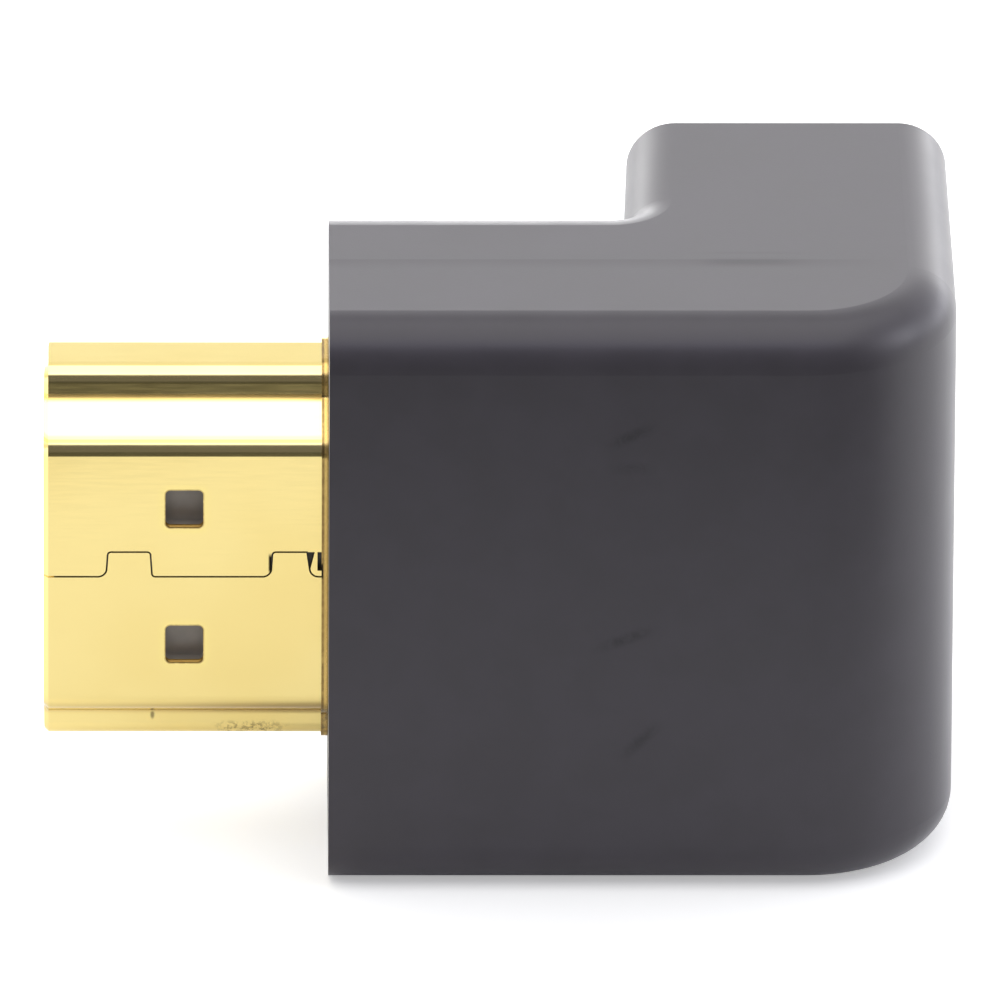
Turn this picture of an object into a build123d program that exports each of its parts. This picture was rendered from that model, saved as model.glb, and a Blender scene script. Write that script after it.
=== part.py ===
from build123d import *
import os
from math import hypot, radians, tan

# Right-angle audio and video adapter: a 19-contact plug on one leg of an L and the matching socket at the
# end of the other. All sizes are in millimetres. The origin is on the plug's axis, in the plane of the
# shoulder. The plug points along -X with its narrow side toward -Y, the socket opens along +Y, +Z is up,
# and the adapter rests on one of its two L-shaped sides.

# Plug outline, shared by the shell, its insulator and the socket's opening
plug_width = 13.9
plug_height = 4.45
ledge_width = 1.07
slope_width = 0.94
slope_depth = 1.75
ledge_tilt = 3.5
narrow_face_radius = 0.7
slope_foot_radius = 0.28
ledge_edge_radius = 0.6
wide_face_radius = 0.6

# Plug shell, one folded sheet with an interlocked seam along its narrow face
plug_reach = 9.66
plug_sheet = 0.3
tip_lead_in = 0.16
mouth_slant = 0.24
shell_tail = 2.4
window_length = 1.28
window_width = 1.41
window_radius = 0.18
window_from_tip = 4.77
window_spread = 5.09
seam_gap = 0.06
tab_height = 0.93
front_tab_start = 2.18
front_tab_length = 1.44
rear_tab_start = 7.76
rear_tab_length = 1.17
tab_lean = 0.06
tab_foot_radius = 0.3
tab_tip_radius = 0.12
rear_wedge_width = 0.26
rear_notch_length = 0.28
rear_notch_height = 0.7

# Rear sleeve, a sheet can round the tail of the plug shell
sleeve_sheet = 0.12
sleeve_showing = 0.24
sleeve_tail = 3.2
ear_length = 2.8
ear_width = 1.7

# Contacts, ten on the wide side and nine between them on the narrow side
wide_row_count = 10
narrow_row_count = 9
contact_sheet = 0.2
contact_width = 0.3

# Plug insulator and the spring contacts in it
plug_insulator_recess = 0.35
slot_side_wall = 0.73
slot_height = 1.65
slot_depth = 8.0
slot_offset = 0.3
groove_depth = 0.45
groove_front_wall = 0.6
groove_rear_wall = 0.5
window_pocket_depth = 0.45
insulator_tail = 2.6
beam_tip_from_tip = 1.2
beam_bump_from_tip = 2.3
beam_root_back = 0.5
beam_tip_spread = 0.14
beam_bump_rise = 0.32
beam_bump_radius = 0.5
tail_bend_run = 0.6
plug_tail_on_board = 2.0

# Circuit board between the two tail rows of the plug, under the upright socket
board_thickness = 1.0
board_gap_to_plug = 0.5
board_neck_gap = 0.65
board_ear_room = 0.7
board_side_margin = 0.75
board_end_margin = 1.6
board_radius = 0.5
pin_hole_room = 0.14
pin_hole_sides = 8

# Socket
socket_sheet = 0.3
socket_rim_recess = 0.1
socket_base = 0.9
tongue_side_gap = 0.15
tongue_side_margin = 0.35
tongue_thickness = 1.35
tongue_recess = 1.9
tongue_nose = 0.2
socket_contact_recess = 0.5
contact_nose = 0.06
pin_stick_out = 0.4
leg_width = 1.1
leg_stick_out = 0.5
finger_length = 3.6
finger_width = 1.7
finger_slot = 0.3
finger_bump_rise = 0.3
finger_bump_length = 1.2
finger_bump_width = 1.1
finger_lip = 0.5

# Outer housing, one L-shaped moulding
shoulder_side = 3.6
body_length = 21.3
leg_thickness = 10.0
port_reach = 16.45
block_thickness = 11.3
outer_draft = 0.2
inner_draft = 0.2
rim_radius = 1.65
elbow_radius = 5.0
inside_corner_radius = 0.45

# Inner mould, which holds the board and both connectors
housing_wall = 1.4
mould_elbow_radius = 3.4

# Clearances
seat_gap = 0.02
mating_gap = 0.05
slip_gap = 0.1

# Places that follow from the sizes above
tip_x = -plug_reach
half_height = plug_height / 2
body_width = plug_width + 2 * shoulder_side
slope_end_width = plug_width - 2 * ledge_width
narrow_face_width = slope_end_width - 2 * slope_width
slot_width = slope_end_width - 2 * slot_side_wall
tongue_width = slot_width - 2 * tongue_side_gap
contact_pitch = (tongue_width - contact_width - 2 * tongue_side_margin) / (wide_row_count - 1)
slot_end_x = tip_x + slot_depth
groove_end_x = slot_end_x - groove_rear_wall
slope_end_y = slope_depth - half_height
ledge_edge_y = slope_end_y + ledge_width * tan(radians(ledge_tilt))
front_y = -leg_thickness / 2
back_y = leg_thickness / 2
port_y = front_y + port_reach
block_inner_x = body_length - block_thickness
socket_x = body_length - block_thickness / 2
board_top_y = slot_offset + board_thickness / 2
board_bottom_y = slot_offset - board_thickness / 2
board_start_x = insulator_tail + board_gap_to_plug
board_end_x = body_length - housing_wall - board_end_margin
board_neck_end_x = sleeve_tail + ear_length + board_ear_room
board_neck_width = plug_width - 2 * board_neck_gap
board_width = body_width - 2 * (housing_wall + board_side_margin)
pin_hole_diameter = hypot(contact_sheet, contact_width) + pin_hole_room
window_x = tip_x + window_from_tip
plug_row_offset = (slot_height + contact_sheet) / 2
plug_tail_offset = (board_thickness + contact_sheet) / 2 + seat_gap
socket_row_offset = (tongue_thickness - contact_sheet) / 2
socket_bottom_y = board_top_y + seat_gap
tongue_tip_y = port_y - tongue_recess
latch_y = port_y - (plug_reach - window_from_tip)
sleeve_offset = seat_gap + sleeve_sheet
socket_wall_offset = mating_gap + socket_sheet
wide_row = [(i - (wide_row_count - 1) / 2) * contact_pitch for i in range(wide_row_count)]
narrow_row = [(i - (narrow_row_count - 1) / 2) * contact_pitch for i in range(narrow_row_count)]
contact_places = [(1, z) for z in wide_row] + [(-1, z) for z in narrow_row]


def plug_outline(grow=0.0):
    """Section across the plug, with the wide side toward local +x and the width along local y.

    A positive grow moves the whole outline outward, a negative one moves it inward.
    """
    upper = [
        (-half_height, narrow_face_width / 2),
        (slope_end_y, slope_end_width / 2),
        (ledge_edge_y, plug_width / 2),
        (half_height, plug_width / 2),
    ]
    lower = [(x, -y) for x, y in reversed(upper)]
    bends = [narrow_face_radius, slope_foot_radius, ledge_edge_radius, wide_face_radius]
    with BuildSketch() as outline:
        with BuildLine():
            FilletPolyline(*upper, *lower, radius=bends + bends[::-1], close=True)
        make_face()
        if grow:
            offset(amount=grow, mode=Mode.REPLACE)
    return outline.sketch


def socket_plane(y):
    """Plane across the socket at height y, turned so that its wide side faces the plug."""
    return Plane(origin=(socket_x, y, 0), x_dir=(-1, 0, 0), z_dir=(0, 1, 0))


def elbow_plan(inset, start_x, end_y, elbow, corner):
    """Plan of the L, drawn in from its outer faces by inset, from start_x to end_y."""
    points = [
        (start_x, front_y + inset),
        (body_length - inset, front_y + inset),
        (body_length - inset - outer_draft, end_y),
        (block_inner_x + inset + inner_draft, end_y),
        (block_inner_x + inset, back_y - inset),
        (start_x, back_y - inset),
    ]
    with BuildSketch() as plan:
        with BuildLine():
            FilletPolyline(*points, radius=[0, elbow, 0, 0, corner, 0], close=True)
        make_face()
    return plan.sketch


def board_outline(grow=0.0):
    """Outline of the board, along local x from the plug, with a narrow neck and a wide body."""
    upper = [
        (board_start_x, board_neck_width / 2),
        (board_neck_end_x, board_neck_width / 2),
        (board_neck_end_x, board_width / 2),
        (board_end_x, board_width / 2),
    ]
    lower = [(x, -y) for x, y in reversed(upper)]
    with BuildSketch() as outline:
        with BuildLine():
            FilletPolyline(*upper, *lower, radius=board_radius, close=True)
        make_face()
        if grow:
            offset(amount=grow, mode=Mode.REPLACE)
    return outline.sketch


# Plug shell: a tube of sheet with a turned-in tip, four latch windows and the seam
with BuildPart() as plug_shell:
    with BuildSketch(Plane.YZ.offset(tip_x)):
        add(plug_outline())
        add(plug_outline(-plug_sheet), mode=Mode.SUBTRACT)
    extrude(amount=plug_reach + shell_tail)
    tip_face = plug_shell.faces().sort_by(Axis.X)[0]
    chamfer(tip_face.outer_wire().edges(), length=tip_lead_in)
    # The mouth leans back from the ledges to the wide face
    with BuildSketch(Plane.XY):
        with BuildLine():
            Polyline(
                (tip_x - tip_lead_in, ledge_edge_y),
                (tip_x, ledge_edge_y),
                (tip_x + mouth_slant, half_height),
                (tip_x + mouth_slant, half_height + plug_sheet),
                (tip_x - tip_lead_in, half_height + plug_sheet),
                close=True,
            )
        make_face()
    extrude(amount=plug_width, both=True, mode=Mode.SUBTRACT)
    with BuildSketch(Plane.XZ):
        with Locations((window_x, window_spread / 2), (window_x, -window_spread / 2)):
            RectangleRounded(window_length, window_width, window_radius)
    extrude(amount=plug_height, both=True, mode=Mode.SUBTRACT)
    # The lower half's edge carries two tabs that lock into the upper half's edge
    front_tab_end = front_tab_start + front_tab_length
    rear_tab_end = rear_tab_start + rear_tab_length
    wedge_x = tip_x + rear_tab_end + rear_wedge_width / 2
    with BuildSketch(Plane.XZ.offset(half_height)):
        with BuildLine():
            seam_line = FilletPolyline(
                (tip_x - tip_lead_in, 0),
                (tip_x + front_tab_start - tab_lean, 0),
                (tip_x + front_tab_start, tab_height),
                (tip_x + front_tab_end, tab_height),
                (tip_x + front_tab_end + tab_lean, 0),
                (tip_x + rear_tab_start - tab_lean, 0),
                (tip_x + rear_tab_start, tab_height),
                (tip_x + rear_tab_end, tab_height),
                (wedge_x, 0),
                (shell_tail + tip_lead_in, 0),
                radius=[
                    tab_foot_radius,
                    tab_tip_radius,
                    tab_tip_radius,
                    tab_tip_radius,
                    tab_foot_radius,
                    tab_tip_radius,
                    0,
                    tab_foot_radius,
                ],
            )
            offset(seam_line, amount=seam_gap / 2, side=Side.BOTH, mode=Mode.REPLACE)
        make_face()
        with BuildLine():
            Polyline(
                (tip_x + rear_tab_end, tab_height),
                (tip_x + rear_tab_end + rear_wedge_width, tab_height),
                (tip_x + rear_tab_end + 3 * rear_wedge_width / 8, tab_height / 4),
                close=True,
            )
        make_face()
        with Locations((-sleeve_showing, tab_height)):
            Rectangle(rear_notch_length, rear_notch_height, align=(Align.CENTER, Align.MAX))
    extrude(amount=-(plug_sheet + seat_gap), mode=Mode.SUBTRACT)

# Rear sleeve: shows as a narrow collar at the shoulder, and its two ears hold the board's neck
with BuildPart() as plug_rear_sleeve:
    with BuildSketch(Plane.YZ.offset(-sleeve_showing)):
        add(plug_outline(sleeve_offset))
        add(plug_outline(seat_gap), mode=Mode.SUBTRACT)
    extrude(amount=sleeve_showing + sleeve_tail)
    ear_y = (ledge_edge_y + half_height) / 2
    ear_z = plug_width / 2 + seat_gap + sleeve_sheet / 2
    with BuildSketch(Plane.YZ.offset(sleeve_tail - sleeve_sheet)):
        with Locations((ear_y, ear_z), (ear_y, -ear_z)):
            Rectangle(ear_width, sleeve_sheet)
    extrude(amount=ear_length + sleeve_sheet)

# Plug insulator: a block with the tongue slot, contact grooves and pockets behind the windows
with BuildPart() as plug_insulator:
    insulator_front_x = tip_x + plug_insulator_recess
    with BuildSketch(Plane.YZ.offset(insulator_front_x)):
        add(plug_outline(-(plug_sheet + seat_gap)))
    extrude(amount=insulator_tail - insulator_front_x)
    with BuildSketch(Plane.YZ.offset(insulator_front_x)):
        with Locations((slot_offset, 0)):
            Rectangle(slot_height, slot_width)
    extrude(amount=slot_end_x - insulator_front_x, mode=Mode.SUBTRACT)
    groove_start_x = insulator_front_x + groove_front_wall
    with BuildSketch(Plane.YZ.offset(groove_start_x)):
        for side, z in contact_places:
            with Locations((slot_offset + side * (slot_height + groove_depth) / 2, z)):
                Rectangle(groove_depth + seat_gap, contact_width + 2 * seat_gap)
    extrude(amount=groove_end_x - groove_start_x, mode=Mode.SUBTRACT)
    with BuildSketch(Plane.YZ.offset(groove_end_x - seat_gap)):
        for side, z in contact_places:
            with Locations((slot_offset + side * plug_row_offset, z)):
                Rectangle(contact_sheet + 2 * seat_gap, contact_width + 2 * seat_gap)
    extrude(amount=insulator_tail - groove_end_x + 2 * seat_gap, mode=Mode.SUBTRACT)
    for window_face in (Plane.XZ.offset(half_height), Plane.XZ.offset(-half_height).rotated((180, 0, 0))):
        with BuildSketch(window_face):
            with Locations((window_x, window_spread / 2), (window_x, -window_spread / 2)):
                RectangleRounded(window_length + slip_gap, window_width + slip_gap, window_radius)
        extrude(amount=-(plug_sheet + window_pocket_depth), mode=Mode.SUBTRACT)

# Circuit board: its narrow neck lies between the plug's tail rows and the sleeve's ears
with BuildPart() as circuit_board:
    with BuildSketch(Plane.XZ.offset(-board_top_y)):
        add(board_outline())
        for side, z in contact_places:
            with Locations((socket_x - slot_offset - side * socket_row_offset, z)):
                RegularPolygon(pin_hole_diameter / 2, pin_hole_sides, mode=Mode.SUBTRACT)
        leg_x = socket_x - (ledge_edge_y + half_height) / 2
        leg_z = plug_width / 2 + mating_gap + socket_sheet / 2
        with Locations((leg_x, leg_z), (leg_x, -leg_z)):
            Rectangle(leg_width + 2 * slip_gap, socket_sheet + 2 * slip_gap, mode=Mode.SUBTRACT)
    extrude(amount=board_thickness)

# Socket shell: a tube of sheet with four spring fingers and two legs through the board
with BuildPart() as socket_shell:
    with BuildSketch(socket_plane(socket_bottom_y)):
        add(plug_outline(socket_wall_offset))
        add(plug_outline(mating_gap), mode=Mode.SUBTRACT)
    extrude(amount=port_y - socket_rim_recess - socket_bottom_y)
    finger_end_y = latch_y - finger_lip - finger_bump_length / 2
    finger_root_y = finger_end_y + finger_length
    with BuildSketch(Plane.YZ.offset(socket_x)):
        for z in (window_spread / 2, -window_spread / 2):
            with Locations((finger_root_y, z)):
                Rectangle(
                    finger_length + finger_slot,
                    finger_width + 2 * finger_slot,
                    align=(Align.MAX, Align.CENTER),
                )
                Rectangle(finger_length, finger_width, align=(Align.MAX, Align.CENTER), mode=Mode.SUBTRACT)
    extrude(amount=plug_height, both=True, mode=Mode.SUBTRACT)
    for side in (1, -1):
        wall_x = socket_x - side * (half_height + mating_gap)
        for z in (window_spread / 2, -window_spread / 2):
            with BuildSketch(Plane.XY.offset(z)):
                with BuildLine():
                    bump_ends = [(wall_x, latch_y + end * finger_bump_length / 2) for end in (-1, 1)]
                    ThreePointArc(bump_ends[0], (wall_x + side * finger_bump_rise, latch_y), bump_ends[1])
                    Polyline(
                        bump_ends[0],
                        (wall_x - side * socket_sheet / 2, bump_ends[0][1]),
                        (wall_x - side * socket_sheet / 2, bump_ends[1][1]),
                        bump_ends[1],
                    )
                make_face()
            extrude(amount=finger_bump_width / 2, both=True)
    with BuildSketch(Plane.XZ.offset(-socket_bottom_y - socket_sheet)):
        with Locations((leg_x, leg_z), (leg_x, -leg_z)):
            Rectangle(leg_width, socket_sheet)
    extrude(amount=socket_bottom_y + socket_sheet - board_bottom_y + leg_stick_out)

# Socket insulator: a base inside the shell and the tongue that stands on it
with BuildPart() as socket_insulator:
    with BuildSketch(socket_plane(socket_bottom_y)):
        add(plug_outline(mating_gap - seat_gap))
    extrude(amount=socket_base)
    tongue_foot_y = socket_bottom_y + socket_base
    with BuildSketch(socket_plane(tongue_foot_y)):
        with Locations((slot_offset, 0)):
            Rectangle(tongue_thickness, tongue_width)
    extrude(amount=tongue_tip_y - tongue_foot_y)
    tongue_tip_face = socket_insulator.faces().sort_by(Axis.Y)[-1]
    chamfer(tongue_tip_face.edges(), length=tongue_nose)
    with BuildSketch(socket_plane(socket_bottom_y - seat_gap)):
        for side, z in contact_places:
            with Locations((slot_offset + side * socket_row_offset, z)):
                Rectangle(contact_sheet + 2 * seat_gap, contact_width + 2 * seat_gap)
    extrude(amount=tongue_tip_y - socket_contact_recess + 2 * seat_gap - socket_bottom_y, mode=Mode.SUBTRACT)


def plug_contact(side, z):
    """Spring contact of the plug: a beam with a bump in the slot and a bent tail on the board."""
    centre_line = [
        (tip_x + beam_tip_from_tip, plug_row_offset + beam_tip_spread),
        (tip_x + beam_bump_from_tip, plug_row_offset - beam_bump_rise),
        (groove_end_x - beam_root_back, plug_row_offset),
        (insulator_tail + seat_gap, plug_row_offset),
        (insulator_tail + seat_gap + tail_bend_run, plug_tail_offset),
        (board_start_x + plug_tail_on_board, plug_tail_offset),
    ]
    inner_face = [(x, slot_offset + side * (y - contact_sheet / 2)) for x, y in centre_line]
    with BuildPart() as contact:
        with BuildSketch(Plane.XY.offset(z)):
            with BuildLine():
                beam = FilletPolyline(*inner_face, radius=[beam_bump_radius, 0, 0, 0])
                offset(beam, amount=contact_sheet, side=Side.LEFT if side > 0 else Side.RIGHT)
            make_face()
        extrude(amount=contact_width / 2, both=True)
    return contact.part


def socket_contact(side, z):
    """Blade contact of the socket: it lies in the tongue's face and its tail passes through the board."""
    centre_x = socket_x - slot_offset - side * socket_row_offset
    tip_y = tongue_tip_y - socket_contact_recess
    with BuildPart() as contact:
        with BuildSketch(Plane.XY.offset(z)):
            with BuildLine():
                Polyline(
                    (centre_x - contact_sheet / 2, board_bottom_y - pin_stick_out),
                    (centre_x - contact_sheet / 2, tip_y - contact_sheet),
                    (centre_x - contact_sheet / 2 + contact_nose, tip_y),
                    (centre_x + contact_sheet / 2 - contact_nose, tip_y),
                    (centre_x + contact_sheet / 2, tip_y - contact_sheet),
                    (centre_x + contact_sheet / 2, board_bottom_y - pin_stick_out),
                    close=True,
                )
            make_face()
        extrude(amount=contact_width / 2, both=True)
    return contact.part


# Inner mould: fills the housing round the board and holds the backs of both connectors
with BuildPart() as inner_mould:
    mould_half_width = body_width / 2 - housing_wall
    mould_top_y = port_y - housing_wall
    with BuildSketch(Plane.XY.offset(-mould_half_width)):
        add(elbow_plan(housing_wall, housing_wall, mould_top_y, mould_elbow_radius, inside_corner_radius))
    extrude(amount=2 * mould_half_width)
    # Seat of the sleeve, then room for its ears and the plug's tails
    with BuildSketch(Plane.YZ):
        add(plug_outline(sleeve_offset + seat_gap))
    extrude(amount=sleeve_tail + seat_gap, mode=Mode.SUBTRACT)
    with BuildSketch(Plane.YZ.offset(sleeve_tail)):
        with Locations((ear_y, ear_z), (ear_y, -ear_z)):
            Rectangle(ear_width + 2 * seat_gap, sleeve_sheet + 2 * seat_gap)
    extrude(amount=ear_length + seat_gap, mode=Mode.SUBTRACT)
    with BuildSketch(Plane.YZ.offset(sleeve_tail)):
        with Locations((slot_offset, 0)):
            Rectangle(
                2 * plug_row_offset + contact_sheet + 2 * slip_gap,
                wide_row_count * contact_pitch,
            )
    extrude(amount=board_start_x + plug_tail_on_board + slip_gap - sleeve_tail, mode=Mode.SUBTRACT)
    # Seat of the board
    with BuildSketch(Plane.XZ.offset(-board_top_y - seat_gap)):
        add(board_outline(seat_gap))
    extrude(amount=board_thickness + 2 * seat_gap, mode=Mode.SUBTRACT)
    # Room for the pins and legs under the board, then the seat of the socket
    with BuildSketch(Plane.XZ.offset(-board_bottom_y)):
        with Locations((socket_x - slot_offset, 0)):
            Rectangle(tongue_thickness + 2 * slip_gap, wide_row_count * contact_pitch)
        with Locations((leg_x, leg_z), (leg_x, -leg_z)):
            Rectangle(leg_width + 2 * slip_gap, socket_sheet + 2 * slip_gap)
    extrude(amount=max(pin_stick_out, leg_stick_out) + slip_gap, mode=Mode.SUBTRACT)
    with BuildSketch(socket_plane(board_top_y)):
        add(plug_outline(socket_wall_offset + seat_gap))
    extrude(amount=mould_top_y - board_top_y + seat_gap, mode=Mode.SUBTRACT)

# Outer housing: one L-shaped moulding with soft rims, crisp at the shoulder and at the port
with BuildPart() as outer_housing:
    with BuildSketch(Plane.XY.offset(-body_width / 2)):
        add(elbow_plan(0, 0, port_y, elbow_radius, inside_corner_radius))
    extrude(amount=body_width)
    side_faces = outer_housing.faces().filter_by(Axis.Z)
    rim_edges = side_faces.edges().filter_by(
        lambda edge: edge.center().X > seat_gap and edge.center().Y < port_y - seat_gap
    )
    fillet(rim_edges, radius=rim_radius)
    with BuildSketch(Plane.XY.offset(-mould_half_width - seat_gap)):
        add(
            elbow_plan(
                housing_wall - seat_gap,
                housing_wall - seat_gap,
                mould_top_y + seat_gap,
                mould_elbow_radius + seat_gap,
                inside_corner_radius,
            )
        )
    extrude(amount=2 * (mould_half_width + seat_gap), mode=Mode.SUBTRACT)
    with BuildSketch(Plane.YZ):
        add(plug_outline(sleeve_offset + seat_gap))
    extrude(amount=housing_wall, mode=Mode.SUBTRACT)
    with BuildSketch(socket_plane(mould_top_y)):
        add(plug_outline(socket_wall_offset + seat_gap))
    extrude(amount=housing_wall, mode=Mode.SUBTRACT)

os.makedirs("parts", exist_ok=True)
outer_housing.part.label = "outer_housing"
export_step(outer_housing.part, "parts/outer_housing.step")
inner_mould.part.label = "inner_mould"
export_step(inner_mould.part, "parts/inner_mould.step")
plug_shell.part.label = "plug_shell"
export_step(plug_shell.part, "parts/plug_shell.step")
plug_rear_sleeve.part.label = "plug_rear_sleeve"
export_step(plug_rear_sleeve.part, "parts/plug_rear_sleeve.step")
plug_insulator.part.label = "plug_insulator"
export_step(plug_insulator.part, "parts/plug_insulator.step")
circuit_board.part.label = "circuit_board"
export_step(circuit_board.part, "parts/circuit_board.step")
socket_shell.part.label = "socket_shell"
export_step(socket_shell.part, "parts/socket_shell.step")
socket_insulator.part.label = "socket_insulator"
export_step(socket_insulator.part, "parts/socket_insulator.step")
for number, (side, z) in enumerate(contact_places, start=1):
    plug_spring = plug_contact(side, z)
    plug_spring.label = f"plug_contact_{number:02d}"
    export_step(plug_spring, f"parts/{plug_spring.label}.step")
    socket_blade = socket_contact(side, z)
    socket_blade.label = f"socket_contact_{number:02d}"
    export_step(socket_blade, f"parts/{socket_blade.label}.step")
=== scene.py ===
"""Looks, studio and camera for a right-angle audio and video adapter.

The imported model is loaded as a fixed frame. Each sub-assembly of the adapter is a class that dresses its own
pieces, each finish is a frozen dataclass that makes one procedural material, and the studio's classes hold the
floor, the softbox, the surroundings and the camera. Lengths are in metres unless a name says otherwise.
"""

import logging
from dataclasses import dataclass, field
from enum import Enum
from math import cos, pi, radians, sin

import bmesh
import bpy
from mathutils import Matrix, Vector


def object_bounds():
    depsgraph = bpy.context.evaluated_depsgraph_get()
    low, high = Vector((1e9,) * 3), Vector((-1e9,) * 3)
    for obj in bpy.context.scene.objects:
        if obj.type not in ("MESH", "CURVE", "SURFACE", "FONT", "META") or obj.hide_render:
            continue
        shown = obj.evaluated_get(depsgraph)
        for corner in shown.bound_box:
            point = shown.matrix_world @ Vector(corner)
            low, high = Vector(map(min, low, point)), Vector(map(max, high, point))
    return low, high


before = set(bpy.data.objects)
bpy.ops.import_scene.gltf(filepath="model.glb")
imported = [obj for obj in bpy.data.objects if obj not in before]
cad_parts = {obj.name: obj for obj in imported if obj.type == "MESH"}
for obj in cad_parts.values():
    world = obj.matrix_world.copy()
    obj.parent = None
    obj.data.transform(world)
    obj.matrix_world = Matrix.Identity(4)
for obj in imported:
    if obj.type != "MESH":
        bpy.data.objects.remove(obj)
cad_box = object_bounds()
log = logging.getLogger("adapter")

Colour = tuple[float, float, float]
Point = tuple[float, float, float]
Pair = tuple[float, float]
Span = tuple[float, float]
Value = bpy.types.NodeSocket
Constants = dict[str, float]

MM = 0.001
# Levels of a mark that fades out, and two spans of a noise, the first for stronger contrast.
FALL: Span = (1.0, 0.0)
SOFT: Span = (0.35, 0.65)
WIDE: Span = (0.3, 0.7)


class Slot(Enum):
    """Material slots that the record names."""

    HOUSING = "housing_plastic"
    INNER = "inner_plastic"
    GOLD = "gold_plate"
    INSULATOR = "insulator_plastic"
    CONTACT = "contact_plate"
    BOARD = "board_laminate"


class Axis(Enum):
    """Index of an axis in a separated vector."""

    X = 0
    Y = 1
    Z = 2


@dataclass(frozen=True)
class Grain:
    """A noise pattern.

    Attributes:
        per_metre: Features in a metre.
        detail: Octaves of finer noise.
        roughness: Weight of the finer octaves.
        warp: How far the pattern is distorted.
        stretch: Factor on each coordinate, where less than 1 draws the pattern out along that axis.
    """

    per_metre: float
    detail: float = 2.0
    roughness: float = 0.5
    warp: float = 0.0
    stretch: Point = (1.0, 1.0, 1.0)


class Graph:
    """A shader node tree that is filled from its inputs towards its output."""

    def __init__(self, tree: bpy.types.NodeTree) -> None:
        """Empties the tree, ready for new nodes."""
        self.tree = tree
        tree.nodes.clear()

    def node(self, kind: str, **settings: object) -> bpy.types.Node:
        """Adds a shader node.

        Args:
            kind: The node's type, without its "ShaderNode" prefix.
            settings: Properties of the node to set, by name.

        Returns:
            The new node.
        """
        node = self.tree.nodes.new(f"ShaderNode{kind}")
        for name, value in settings.items():
            setattr(node, name, value)
        return node

    def feed(self, node: bpy.types.Node, key: int | str, value: object) -> None:
        """Links a socket into a node's input, or sets the input's own value.

        Args:
            node: The node that takes the value.
            key: The input's name or number.
            value: An output socket to link, or a plain number, point or colour.
        """
        if isinstance(value, Value):
            self.tree.links.new(value, node.inputs[key])
        elif isinstance(value, tuple) and len(value) == 3 and len(node.inputs[key].default_value) == 4:
            node.inputs[key].default_value = (*value, 1.0)
        else:
            node.inputs[key].default_value = value

    def place(self) -> Value:
        """Returns the Object coordinates, in metres."""
        return self.node("TexCoord").outputs["Object"]

    def along(self, vector: Value, axis: Axis) -> Value:
        """Takes one coordinate out of a vector.

        Args:
            vector: The vector.
            axis: The coordinate's axis.

        Returns:
            The coordinate.
        """
        split = self.node("SeparateXYZ")
        self.feed(split, 0, vector)
        return split.outputs[axis.value]

    def stretched(self, vector: Value, scale: Point) -> Value:
        """Multiplies each coordinate of a vector by its own factor.

        Args:
            vector: The vector.
            scale: The three factors.

        Returns:
            The stretched vector.
        """
        mapping = self.node("Mapping")
        self.feed(mapping, "Vector", vector)
        self.feed(mapping, "Scale", scale)
        return mapping.outputs[0]

    def noise(self, vector: Value, grain: Grain) -> Value:
        """Adds a noise texture.

        Args:
            vector: The coordinates to read.
            grain: The pattern.

        Returns:
            The noise, from 0 to 1.
        """
        if grain.stretch != (1.0, 1.0, 1.0):
            vector = self.stretched(vector, grain.stretch)
        noise = self.node("TexNoise")
        self.feed(noise, "Vector", vector)
        self.feed(noise, "Scale", grain.per_metre)
        self.feed(noise, "Detail", grain.detail)
        self.feed(noise, "Roughness", grain.roughness)
        self.feed(noise, "Distortion", grain.warp)
        return noise.outputs[0]

    def ramp(self, value: Value, span: Span, levels: Span = (0.0, 1.0)) -> Value:
        """Maps a value smoothly from a span onto two levels, and holds the levels past its ends.

        Args:
            value: The value to map.
            span: The values that give the first and the second level.
            levels: The two levels.

        Returns:
            The mapped value.
        """
        ramp = self.node("MapRange", interpolation_type="SMOOTHSTEP")
        for key, number in enumerate((value, *span, *levels)):
            self.feed(ramp, key, number)
        return ramp.outputs[0]

    def math(self, operation: str, first: object, second: object = 0.0) -> Value:
        """Works out a math operation.

        Args:
            operation: Blender's name of the operation.
            first: Its first socket or number.
            second: Its second socket or number.

        Returns:
            The result.
        """
        node = self.node("Math", operation=operation)
        self.feed(node, 0, first)
        self.feed(node, 1, second)
        return node.outputs[0]

    def plus(self, first: object, second: object) -> Value:
        """Returns the sum of two values."""
        return self.math("ADD", first, second)

    def minus(self, first: object, second: object) -> Value:
        """Returns the first value less the second."""
        return self.math("SUBTRACT", first, second)

    def times(self, first: object, second: object) -> Value:
        """Returns the product of two values, which for two marks is where both lie."""
        return self.math("MULTIPLY", first, second)

    def distance(self, vector: Value, point: Point) -> Value:
        """Measures how far a vector lies from a fixed point.

        Args:
            vector: The vector.
            point: The point.

        Returns:
            The distance.
        """
        node = self.node("VectorMath", operation="DISTANCE")
        self.feed(node, 0, vector)
        self.feed(node, 1, point)
        return node.outputs["Value"]

    def band(self, value: Value, middle: object, half: Span) -> Value:
        """Marks a soft band of a value.

        Args:
            value: The value to look at.
            middle: The band's middle.
            half: Half width of the part that is fully marked, and half width where the mark has faded out.

        Returns:
            The mark, 1 in the band and 0 away from it.
        """
        return self.ramp(self.math("ABSOLUTE", self.minus(value, middle)), half, FALL)

    def outline(self, place: Value, middle: Pair, half: Pair, radius: float) -> Value:
        """Measures how far a place lies outside a rounded rectangle, seen along Y.

        Args:
            place: The coordinates to read.
            middle: The rectangle's middle in X and Z.
            half: Half its size in X and Z.
            radius: Radius of its corners.

        Returns:
            The distance outside the rectangle, negative inside near the edge.
        """
        squares = []
        for axis, centre, size in zip((Axis.X, Axis.Z), middle, half):
            off = self.math("ABSOLUTE", self.minus(self.along(place, axis), centre))
            off = self.math("MAXIMUM", self.minus(off, size - radius), 0.0)
            squares.append(self.times(off, off))
        return self.minus(self.math("SQRT", self.plus(*squares)), radius)

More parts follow.
